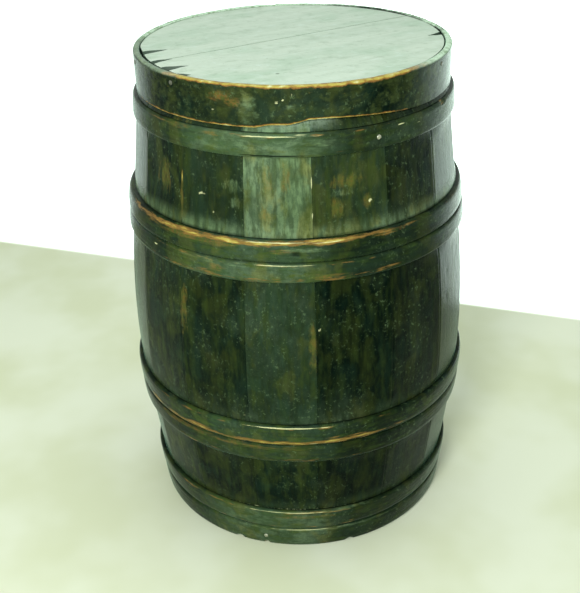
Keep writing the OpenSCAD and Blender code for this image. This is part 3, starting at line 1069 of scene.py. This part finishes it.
def board_piece(name, node, side):
    bm = bmesh.new()
    outline = board_outline(side)
    top = [bm.verts.new(ALONG @ Vector((x, y, BOARD_TOP))) for x, y in outline]
    low = [bm.verts.new(ALONG @ Vector((x, y, BOARD_LOW))) for x, y in outline]
    close_rows(bm, [top, low])
    rim = [e for e in bm.edges if all(v in set(top) for v in e.verts)]
    bmesh.ops.bevel(bm, geom=rim, offset=0.9 * MM, segments=3, profile=0.6, affect="EDGES")
    obj = new_object(name, mesh_of(bm, name), MATERIALS["lid_board_wood"])
    mine = [s for s in SPLINTERS if any((y * MM - SEAM_SHIFT) * side > 0 for _, y in s)]
    cut(obj, [splinter_mesh(s) for s in mine])
    # Painted shade: the boards' sides and the splinters' walls and floors are darkened.
    shaded_walls = [abs(f.normal.z) < 0.2 or f.center.z < BOARD_TOP - 1.5 * MM for f in obj.data.polygons]
    set_attribute(obj.data, "dirt_and_shade", shaded_walls, "FACE")
    finish_mesh(obj.data, 30)
    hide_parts(node)
    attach(obj, "lid")


def batten_piece(name, node, side):
    """A batten with chamfered ends and eased edges."""
    low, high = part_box(node)[0].z, BOARD_LOW
    left, right = side * BATTEN_X - BATTEN_W / 2, side * BATTEN_X + BATTEN_W / 2
    end, full = BATTEN_L / 2, BATTEN_L / 2 - 14 * MM
    bm = bmesh.new()
    rows = []
    for y, share in [(-end, 0.35), (-full, 1), (0, 1), (full, 1), (end, 0.35)]:
        bottom = high - (high - low) * share
        corners = [(left, bottom), (right, bottom), (right, high), (left, high)]
        rows.append([bm.verts.new(ALONG @ Vector((x, y, z))) for x, z in corners])
    close_rows(bm, rows)
    bmesh.ops.bevel(bm, geom=bm.edges[:], offset=1.2 * MM, segments=2, profile=0.6, affect="EDGES",
                    clamp_overlap=True)
    obj = new_object(name, mesh_of(bm, name), MATERIALS["bare_oak"])
    finish_mesh(obj.data, 35)
    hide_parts(node)
    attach(obj, "lid")


# ---- nails

NAIL_R = 1.3 * MM
HEAD_R = 2.6 * MM
HEAD_H = 1.1 * MM
NAIL_STEP = 4  # degrees from a lap's middle
HOOP_NAIL_L = 13.6 * MM
BAND_NAIL_L = 19 * MM
BATTEN_NAIL_L = 23 * MM
BAND_NAIL_AGE = 0.85
BATTEN_NAILS_Y = [-108 * MM, -45 * MM, 60 * MM, 115 * MM]


def nail_outline(length):
    """A nail's shank and its domed head, as (radius, height) with the head's underside at 0."""
    turns = np.linspace(0, math.pi / 2, 6)[:-1]
    dome = [(HEAD_R * math.cos(a), HEAD_H * (0.25 + 0.75 * math.sin(a))) for a in turns]
    shank = [(0, -length), (NAIL_R * 0.4, -length), (NAIL_R, -length + 3 * MM), (NAIL_R, 0)]
    return shank + [(HEAD_R, 0)] + dome + [(0, HEAD_H)]


def nails_piece(name, node, body, places, length, age=0.0):
    """All nails of one group as one object. A place is a matrix whose +Z points out of the head.

    age runs from 0, bright where not rusty, to 1, dark all over.
    """
    bm = bmesh.new()
    for place in places:
        part = lathe("nail", nail_outline(length), 20, place)
        bm.from_mesh(part)
        bpy.data.meshes.remove(part)
    mesh = mesh_of(bm, name)
    set_attribute(mesh, "age", np.full(len(mesh.vertices), age))
    obj = new_object(name, mesh, MATERIALS["iron"])
    shade(mesh, 50)
    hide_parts(node)
    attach(obj, body)


def outward_at(bearing, radius, height):
    """A place on a drum, with +Z pointing away from the axis."""
    spin = Matrix.Rotation(math.radians(bearing - 90), 4, "Z")
    return spin @ Matrix.Translation((radius, 0, height)) @ Matrix.Rotation(math.radians(90), 4, "Y")


def all_nails():
    places = []
    for node, lap, others in HOOPS:
        low, high = HOOP_BOXES[node]
        face = float(stave_r(low) + stave_r(high)) / 2 + HOOP_T.get(node, PAIR_HOOP_T)
        for b in [lap - NAIL_STEP, lap + NAIL_STEP] + others:
            places.append(outward_at(b, face - 0.35 * MM, (low + high) / 2))
    nails_piece("hoop_nail_heads", "hoop_nails", "cask", places, HOOP_NAIL_L)
    middle = (BOARD_LOW + BOARD_TOP) / 2
    places = [outward_at(b, LID_R - 0.5 * MM, middle) for b in BAND_NAILS]
    nails_piece("band_nail_heads", "lid_band_nails", "lid", places, BAND_NAIL_L, BAND_NAIL_AGE)
    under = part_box("lid_batten_left")[0].z
    down = Matrix.Rotation(math.pi, 4, "X")
    places = []
    for x in (-BATTEN_X, BATTEN_X):
        for y in BATTEN_NAILS_Y:
            places.append(ALONG @ Matrix.Translation((x, y, under)) @ down)
    nails_piece("batten_nail_heads", "batten_nails", "lid", places, BATTEN_NAIL_L)


# ---- build

for index in range(len(JOINTS) - 1):
    stave_piece(index)
for hoop_node, lap, _ in HOOPS:
    hoop_piece(hoop_node, lap)
bung_piece()
lid_band_piece()
board_piece("pale_board_front", "lid_board_front", -1)
board_piece("pale_board_rear", "lid_board_rear", 1)
batten_piece("oak_batten_left", "lid_batten_left", -1)
batten_piece("oak_batten_right", "lid_batten_right", 1)
all_nails()
for kept in ("bottom_board_left", "bottom_board_middle", "bottom_board_right", "bottom_dowels", "lid_dowels"):
    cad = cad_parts[kept]
    cad.data.materials.clear()
    cad.data.materials.append(MATERIALS["bare_oak"])


# ---- stage, light and camera

# Where the pale floor gives way to bright white, as a direction and a distance, and how that part shines.
# That white part glows: a painted wall whose light also falls on the cask.
WALL_FACING = (0.3295, 0.9441, 0)
WALL_AT = 0.515
WALL_GLOW = 2.8
GLOW_COLOUR = (0.80, 1.0, 0.88, 1)
# Half the floor's side.
FLOOR = 6.0
# The camera's place, how far it looks down and leans, in degrees, and its lens on a 36 mm sensor.
CAMERA_AT = (-0.0116, -1.1874, 0.9261)
CAMERA_PITCH = 29.04
CAMERA_ROLL = 1.68
CAMERA_LENS = 60.2


def floor():
    m = Material("floor", Specular_IOR_Level=0.2)
    place = m.place()
    cloud = m.noise(place, (0.22, 0.22), 3, 0.5)
    stone = m.mix(m.step(cloud, 0.35, 0.65), rgb(204, 212, 179), rgb(216, 224, 200))
    across = m.vector("DOT_PRODUCT", place, WALL_FACING, output="Value")
    far = m.step(across, WALL_AT - 10 * MM, WALL_AT + 10 * MM)
    axes = m.node("SeparateXYZ", Vector=place).outputs
    # Painted light: the white part glows, brightest towards the back and the right, standing in for a lit
    # wall.
    glow = m.times(far, m.span(m.step(axes["X"], -0.5, 0.4), 0.35, 1.0))
    glow = m.times(glow, m.span(m.step(axes["Y"], 0.15, 0.75), 0.25, 1.0))
    glow = m.times(glow, WALL_GLOW)
    colour = m.mix(far, stone, rgb(252, 254, 253))
    m.surface(colour, m.math("ADD", 0.7, m.times(cloud, 0.2)))
    m.feed(m.shader.inputs["Emission Color"], GLOW_COLOUR)
    m.feed(m.shader.inputs["Emission Strength"], glow)
    mesh = bpy.data.meshes.new("floor")
    corners = [(-FLOOR, -FLOOR, 0), (FLOOR, -FLOOR, 0), (FLOOR, FLOOR, 0), (-FLOOR, FLOOR, 0)]
    mesh.from_pydata(corners, [], [(0, 1, 2, 3)])
    obj = new_object("floor", mesh, m.made)


def area_light(name, place, target, size, power, colour=(1, 1, 1)):
    data = bpy.data.lights.new(name, "AREA")
    data.shape = "RECTANGLE"
    data.size, data.size_y = size
    data.energy = power
    data.color = colour
    obj = linked(name, data)
    obj.location = place
    direction = Vector(target) - Vector(place)
    obj.rotation_euler = direction.to_track_quat("-Z", "Y").to_euler()


def lights():
    """A pale surround that is brightest low down, a large light overhead, and a flash by the camera."""
    world = bpy.data.worlds.new("studio")
    bpy.context.scene.world = world
    world.use_nodes = True
    tree = world.node_tree
    back = tree.nodes["Background"]
    back.inputs["Color"].default_value = (0.93, 1.0, 0.96, 1)
    split = tree.nodes.new("ShaderNodeSeparateXYZ")
    tree.links.new(tree.nodes.new("ShaderNodeTexCoord").outputs["Generated"], split.inputs[0])
    fade = tree.nodes.new("ShaderNodeMapRange")
    tree.links.new(split.outputs["Z"], fade.inputs["Value"])
    for key, value in {"From Min": 0, "From Max": 0.75, "To Min": 1.1, "To Max": 0.35}.items():
        fade.inputs[key].default_value = value
    tree.links.new(fade.outputs["Result"], back.inputs["Strength"])
    area_light("overhead", (0.2, 0.5, 2.6), (0, 0, 0.3), (2.2, 2.2), 34, (0.97, 1.0, 0.98))
    area_light("flash", (-0.34, -1.32, 1.12), (0, 0, 0.35), (0.40, 0.40), 21)


def camera():
    """The photograph's own view of the cask."""
    data = bpy.data.cameras.new("camera")
    data.lens = CAMERA_LENS
    data.sensor_width = 36
    data.clip_start = 0.05
    obj = linked("camera", data)
    pitch, roll = math.radians(CAMERA_PITCH), math.radians(CAMERA_ROLL)
    ahead = Vector((0, math.cos(pitch), -math.sin(pitch)))
    right = Vector((1, 0, 0))
    up = right.cross(ahead)
    x = right * math.cos(roll) - up * math.sin(roll)
    y = right * math.sin(roll) + up * math.cos(roll)
    turn = Matrix((x, y, -ahead)).transposed().to_4x4()
    obj.matrix_world = Matrix.Translation(CAMERA_AT) @ turn
    bpy.context.scene.camera = obj


floor()
lights()
camera()
bpy.context.scene.view_settings.view_transform = "Standard"
